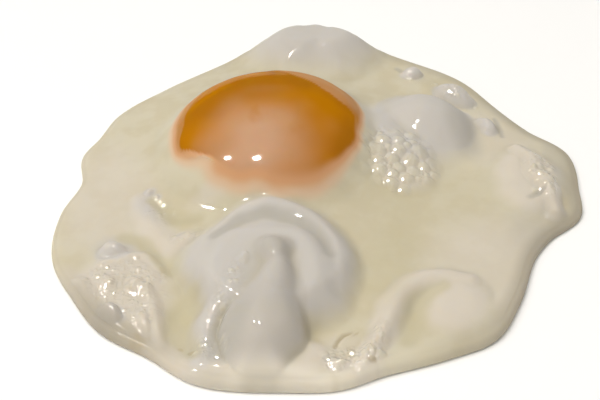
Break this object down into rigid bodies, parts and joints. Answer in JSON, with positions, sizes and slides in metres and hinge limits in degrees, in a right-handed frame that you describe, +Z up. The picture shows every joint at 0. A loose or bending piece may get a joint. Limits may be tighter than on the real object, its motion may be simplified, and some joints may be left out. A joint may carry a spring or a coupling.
{
  "type": "fried egg",
  "caption": "Fried egg, sunny side up: a wavy-edged sheet of set white with blown domes, folds and bubbles, and a domed yolk sunk into it. Flat underside to rest on a plate or pan.",
  "frame": {"origin": "on the flat underside, under the middle of the white's outline", "axes": "+Z up; the yolk lies to -X and +Y of the middle, the large blown dome to -Y"},
  "size_m": [0.1148, 0.1206, 0.0172],
  "materials": {
    "set_white": "moist set egg white, glossy and a little translucent",
    "yolk": "moist orange yolk under a thin film of set white"
  },
  "bodies": {
    "root": {"egg_white": "set_white", "yolk": "yolk"}
  },
  "joints": []
}
